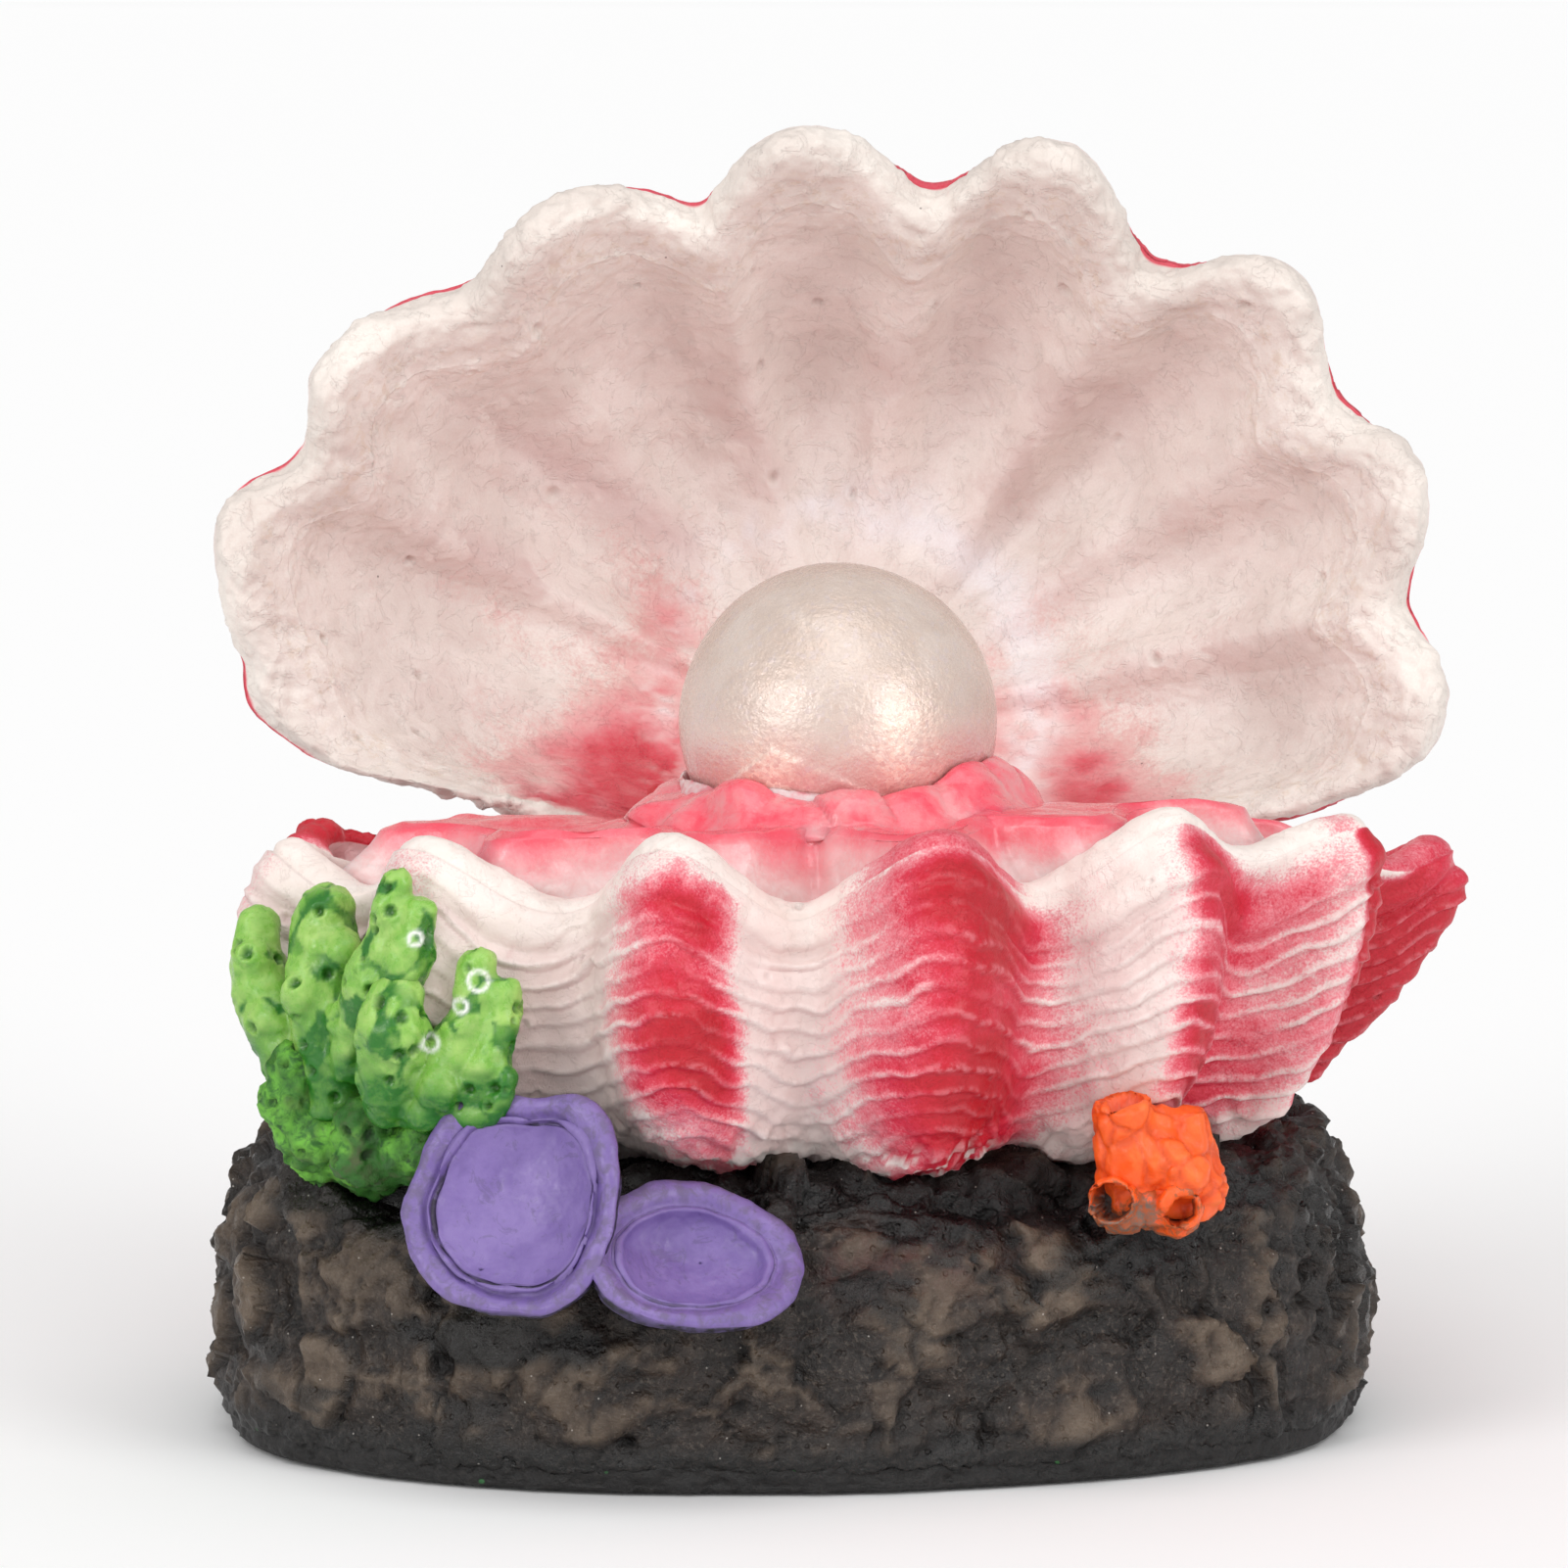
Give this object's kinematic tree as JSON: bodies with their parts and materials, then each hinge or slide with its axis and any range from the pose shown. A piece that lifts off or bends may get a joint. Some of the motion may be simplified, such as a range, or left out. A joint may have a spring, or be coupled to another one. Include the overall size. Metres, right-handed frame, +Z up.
{
  "type": "bubbling aquarium ornament",
  "caption": "Open fluted clam on a rock foot with a pearl on its mantle, an upper valve hinged at the back and an air line that bubbles into the mouth.",
  "frame": {"origin": "on the underside of the foot plate, 6 mm in front of the middle of the foot's outline", "axes": "+X to the viewer's right across the mouth, +Y to the back where the hinge and the air inlet are, +Z up"},
  "size_m": [0.0813, 0.0729, 0.0821],
  "materials": {
    "rock": "painted cast resin, mottled grey brown with black in the hollows, satin",
    "foot_black": "black painted cast resin, satin",
    "lower_shell": "painted cast resin, cream white grooves and crimson sprayed ribs, satin",
    "upper_shell": "painted cast resin, chalky pinkish white, sprayed pink near the hinge",
    "mantle": "painted cast resin, glossy red and pink",
    "pearl": "cream pearlescent bead",
    "adhesive": "cloudy clear adhesive",
    "coral": "painted cast resin, lime green over dark green pits",
    "coral_dark": "painted cast resin, dark green, flocked look",
    "purple": "painted cast resin, violet, grey on worn edges",
    "orange": "painted cast resin, bright orange, grey where worn",
    "steel": "stainless rod",
    "nylon": "natural nylon",
    "black_plastic": "moulded black",
    "clear_tube": "translucent silicone"
  },
  "bodies": {
    "base": {"base_plate": "foot_black", "rock_base": "rock", "lower_valve": "lower_shell", "hinge_pin": "steel", "pin_cap_left": "lower_shell", "pin_cap_right": "lower_shell", "mantle": "mantle", "pearl": "pearl", "pearl_adhesive": "adhesive", "air_inlet_barb": "black_plastic", "air_tube": "clear_tube", "air_nozzle": "black_plastic", "coral_fingers_left": "coral", "coral_fingers_front": "coral", "coral_foot": "coral_dark", "purple_shell_left": "purple", "purple_shell_right": "purple", "orange_barnacles": "orange", "tube_ends": "orange"},
    "lid": {"upper_valve": "upper_shell", "hinge_bush_left": "nylon", "hinge_bush_right": "nylon"}
  },
  "joints": [
    {"name": "lid_hinge", "type": "hinge", "parent": "base", "child": "lid", "pos_m": [0.003, 0.019, 0.0365], "axis": [1, 0, 0], "range_deg": [0, 90]}
  ]
}
